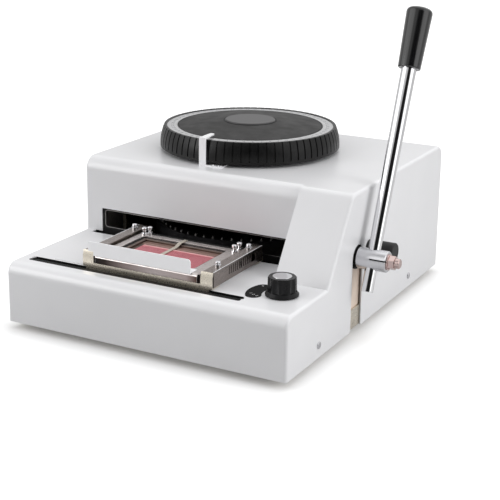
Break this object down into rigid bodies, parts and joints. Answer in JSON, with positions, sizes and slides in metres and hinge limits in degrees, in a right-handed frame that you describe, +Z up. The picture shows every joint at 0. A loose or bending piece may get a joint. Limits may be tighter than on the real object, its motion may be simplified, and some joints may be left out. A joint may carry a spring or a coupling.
{
  "type": "metal tag embossing machine",
  "caption": "Bench machine that embosses metal tags: a stepped sheet steel casing, a round character dial on top, a side lever, and a sliding tag holder on the front deck.",
  "frame": {"origin": "middle of the footprint at the bottom of the rubber feet", "axes": "+Z up, +Y from the operator towards the rear, +X towards the side with the lever"},
  "size_m": [0.4014, 0.44, 0.3603],
  "materials": {
    "casing_paint": "semi-gloss baked enamel, light grey white",
    "handle_paint": "semi-gloss white enamel",
    "black_plastic": "moulded black, satin",
    "grip_plastic": "moulded black, glossy",
    "dial_face": "fine-grained black",
    "satin_disc": "dark satin spun",
    "spun_aluminium": "spun, clear",
    "zinc_steel": "zinc plated, warm tint",
    "brushed_steel": "brushed",
    "frame_steel": "bright mild steel",
    "chrome": "polished",
    "bolt_nickel": "polished nickel",
    "black_oxide": "black coated sheet",
    "cast_wheel": "machined",
    "punch_steel": "hardened",
    "bronze": "sintered bronze",
    "rubber": "moulded",
    "tag_finish": "anodised rose"
  },
  "bodies": {
    "root": {"casing_shell": "casing_paint", "base_plate": "zinc_steel", "rubber_feet": "rubber", "side_screws": "zinc_steel", "deck_plate": "casing_paint", "shroud_panel": "black_oxide", "right_frame_plate": "zinc_steel", "inner_frame_plate": "zinc_steel", "left_frame_plate": "zinc_steel", "top_plate": "zinc_steel", "frame_spacers": "frame_steel", "spindle_bearings": "bronze", "shaft_bearings": "black_oxide", "pivot_lugs": "frame_steel", "pivot_pins": "frame_steel", "return_spring": "frame_steel", "stop_bumper": "rubber", "rail_blocks": "frame_steel", "carriage_rails": "chrome", "knob_label": "black_plastic", "pointer_bracket": "handle_paint", "pointer_screws": "zinc_steel", "detent_post": "frame_steel"},
    "dial": {"detent_wheel": "frame_steel", "dial_skirt": "black_plastic", "dial_ring": "spun_aluminium", "dial_face": "dial_face", "dial_disc": "satin_disc", "spindle": "frame_steel", "lower_type_wheel": "cast_wheel", "upper_type_wheel": "cast_wheel", "lower_punches": "punch_steel", "upper_punches": "punch_steel"},
    "detent": {"detent_arm": "frame_steel"},
    "lever": {"lever_shaft": "frame_steel", "lever_cam": "frame_steel", "lever_hub": "chrome", "lever_collar": "black_oxide", "lever_rod": "chrome", "lever_grip": "grip_plastic", "lever_bolt": "bolt_nickel"},
    "upper_arm": {"upper_press_arm": "frame_steel", "upper_cam_roller": "frame_steel"},
    "lower_arm": {"lower_press_arm": "frame_steel", "lower_cam_roller": "frame_steel"},
    "carriage": {"carriage_front_bracket": "zinc_steel", "carriage_rear_bracket": "zinc_steel", "left_slide_bar": "brushed_steel", "right_slide_bar": "brushed_steel", "carriage_sliders": "bronze", "carriage_studs": "chrome"},
    "holder": {"holder_frame": "brushed_steel", "holder_runners": "zinc_steel", "holder_tray": "zinc_steel", "tag_plate": "tag_finish", "handle_plate": "handle_paint", "divider_clip": "zinc_steel", "holder_studs": "chrome"},
    "knob": {"selector_knob": "grip_plastic", "knob_cap": "spun_aluminium"}
  },
  "joints": [
    {"name": "dial_turn", "type": "hinge", "parent": "root", "child": "dial", "pos_m": [-0.05155, 0.0778, 0.1975], "axis": [0, 0, 1], "continuous": true},
    {"name": "detent_swing", "type": "hinge", "parent": "root", "child": "detent", "pos_m": [0.01475, 0.14, 0.036], "axis": [0, 0, 1], "range_deg": [0, 4], "stiffness_Nm_per_rad": 1, "springref_deg": -5.73},
    {"name": "lever_pull", "type": "hinge", "parent": "root", "child": "lever", "pos_m": [0.16855, -0.046, 0.0933], "axis": [1, 0, 0], "range_deg": [-27, 77], "stiffness_Nm_per_rad": 3, "springref_deg": 4.3},
    {"name": "upper_arm_press", "type": "hinge", "parent": "root", "child": "upper_arm", "pos_m": [0.08375, -0.034, 0.152], "axis": [0, -1, 0], "range_deg": [-1.5, 3.5]},
    {"name": "lower_arm_press", "type": "hinge", "parent": "root", "child": "lower_arm", "pos_m": [0.08375, -0.034, 0.0346], "axis": [0, 1, 0], "range_deg": [-1.5, 3.5]},
    {"name": "carriage_slide", "type": "slide", "parent": "root", "child": "carriage", "axis": [1, 0, 0], "range_m": [-0.062, 0.036]},
    {"name": "holder_slide", "type": "slide", "parent": "carriage", "child": "holder", "axis": [0, 1, 0], "range_m": [0, 0.096]},
    {"name": "knob_turn", "type": "hinge", "parent": "root", "child": "knob", "pos_m": [0.11505, -0.161, 0.0781], "axis": [0, 0, 1], "range_deg": [-60, 60]}
  ],
  "couplings": [
    {"joint": "upper_arm_press", "follows": "lever_pull", "ratio": 0.044},
    {"joint": "lower_arm_press", "follows": "lever_pull", "ratio": 0.044}
  ]
}
